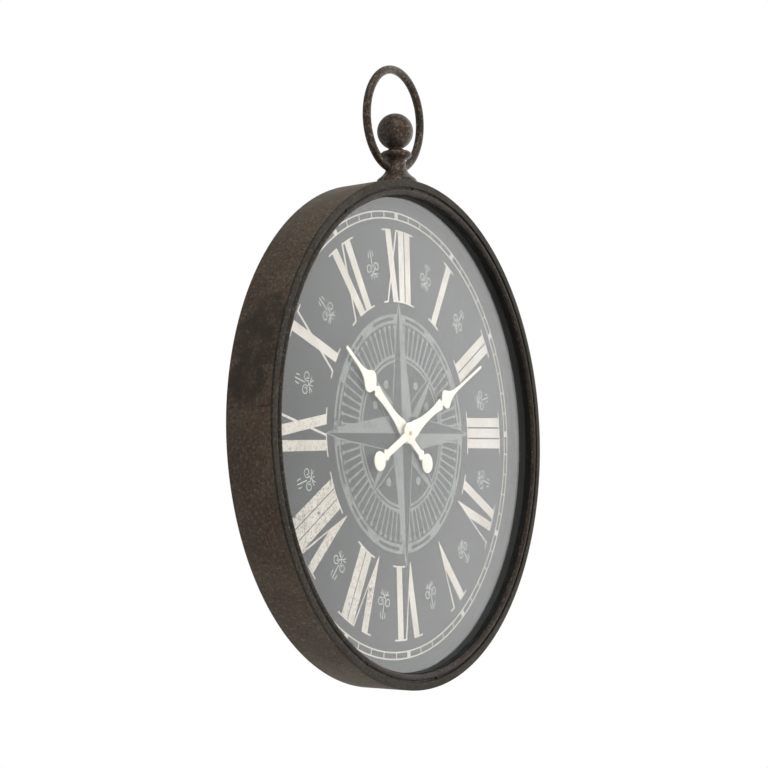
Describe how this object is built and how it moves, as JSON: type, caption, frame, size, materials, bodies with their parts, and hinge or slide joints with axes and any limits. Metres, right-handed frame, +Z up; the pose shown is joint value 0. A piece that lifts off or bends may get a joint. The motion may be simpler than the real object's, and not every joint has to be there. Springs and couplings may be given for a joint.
{
  "type": "wall clock",
  "caption": "Round metal wall clock shaped like a pocket watch, with a glazed Roman dial, two hands, a quartz movement, a turned pendant with a ball and a ring bow.",
  "frame": {"origin": "the nail: top of the hanger's keyhole slot on the plane of the wall, 262 mm above the dial's axis", "axes": "+Z up, +X to the right of a person reading the dial, +Y into the wall, so the dial faces -Y"},
  "size_m": [0.6, 0.0603, 0.7448],
  "materials": {
    "bronze_paint": "aged dark bronze paint with olive and rust mottling, satin",
    "rim_paint": "worn olive grey over dark bronze paint, satin",
    "bead_paint": "rubbed brown over dark paint, satin",
    "black_paint": "matte black paint",
    "glass": "clear float glass, polished",
    "dial_paper": "matte charcoal print with cream and grey artwork",
    "fibre_board": "raw medium density fibre board",
    "ivory_enamel": "ivory enamel, satin",
    "brass": "turned brass",
    "white_plastic": "moulded acetal",
    "black_plastic": "fine textured moulded plastic",
    "steel": "zinc plated steel",
    "rubber": "black rubber",
    "copper_wire": "enamelled copper wire",
    "laminate": "green solder mask",
    "battery_sleeve": "printed sleeve with no lettering"
  },
  "bodies": {
    "root": {"case_band": "bronze_paint", "front_rim": "rim_paint", "bead_ring": "bead_paint", "brad_01": "rim_paint", "brad_02": "rim_paint", "brad_03": "rim_paint", "brad_04": "rim_paint", "brad_05": "rim_paint", "brad_06": "rim_paint", "brad_07": "rim_paint", "brad_08": "rim_paint", "brad_09": "rim_paint", "brad_10": "rim_paint", "brad_11": "rim_paint", "brad_12": "rim_paint", "inner_collar": "black_paint", "glass": "glass", "spacer_ring": "black_paint", "dial_print": "dial_paper", "dial_board": "fibre_board", "retainer_tab_1": "steel", "retainer_tab_2": "steel", "retainer_tab_3": "steel", "retainer_tab_4": "steel", "tab_screw_1": "steel", "tab_screw_2": "steel", "tab_screw_3": "steel", "tab_screw_4": "steel", "hanger_plate": "steel", "pendant": "bronze_paint", "pendant_bolt": "steel", "ball_finial": "bronze_paint", "bow_ring": "bronze_paint", "movement_case": "black_plastic", "movement_cover": "black_plastic", "threaded_bushing": "brass", "rubber_washer": "rubber", "brass_washer": "brass", "hexagon_nut": "brass", "stator": "steel", "coil": "copper_wire", "circuit_board": "laminate", "quartz_crystal": "steel", "controller_chip": "black_plastic", "contact_positive": "steel", "contact_negative": "steel"},
    "minute": {"minute_hand": "ivory_enamel", "hand_nut": "brass", "minute_wheel": "brass"},
    "hour": {"hour_hand": "ivory_enamel", "hour_wheel": "white_plastic"},
    "motion": {"motion_wheel": "white_plastic"},
    "setting": {"setting_arbor": "white_plastic", "setting_knob": "black_plastic"},
    "third": {"third_wheel": "brass"},
    "fourth": {"fourth_wheel": "white_plastic"},
    "fifth": {"fifth_wheel": "white_plastic"},
    "rotor": {"rotor": "steel"},
    "battery": {"battery": "battery_sleeve"}
  },
  "joints": [
    {"name": "minute_turn", "type": "hinge", "parent": "root", "child": "minute", "pos_m": [0, -0.01, -0.262], "axis": [0, 1, 0], "continuous": true},
    {"name": "hour_turn", "type": "hinge", "parent": "root", "child": "hour", "pos_m": [0, -0.01, -0.262], "axis": [0, 1, 0], "continuous": true},
    {"name": "motion_turn", "type": "hinge", "parent": "root", "child": "motion", "pos_m": [-0.00658, -0.01, -0.26439], "axis": [0, 1, 0], "continuous": true},
    {"name": "setting_turn", "type": "hinge", "parent": "root", "child": "setting", "pos_m": [-0.01382, -0.01, -0.26312], "axis": [0, 1, 0], "continuous": true},
    {"name": "third_turn", "type": "hinge", "parent": "root", "child": "third", "pos_m": [0.0045, -0.01, -0.25421], "axis": [0, 1, 0], "continuous": true},
    {"name": "fourth_turn", "type": "hinge", "parent": "root", "child": "fourth", "pos_m": [-0.00286, -0.01, -0.24996], "axis": [0, 1, 0], "continuous": true},
    {"name": "fifth_turn", "type": "hinge", "parent": "root", "child": "fifth", "pos_m": [-0.01131, -0.01, -0.24769], "axis": [0, 1, 0], "continuous": true},
    {"name": "rotor_turn", "type": "hinge", "parent": "root", "child": "rotor", "pos_m": [-0.01746, -0.01, -0.25199], "axis": [0, 1, 0], "continuous": true},
    {"name": "battery_removal", "type": "slide", "parent": "root", "child": "battery", "axis": [0, 1, 0], "range_m": [0, 0.03]}
  ],
  "couplings": [
    {"joint": "hour_turn", "follows": "minute_turn", "ratio": 0.083333},
    {"joint": "motion_turn", "follows": "minute_turn", "ratio": -0.33333},
    {"joint": "setting_turn", "follows": "minute_turn", "ratio": 0.83333},
    {"joint": "third_turn", "follows": "minute_turn", "ratio": -8},
    {"joint": "fourth_turn", "follows": "minute_turn", "ratio": 60},
    {"joint": "fifth_turn", "follows": "minute_turn", "ratio": -360},
    {"joint": "rotor_turn", "follows": "minute_turn", "ratio": 1800}
  ]
}
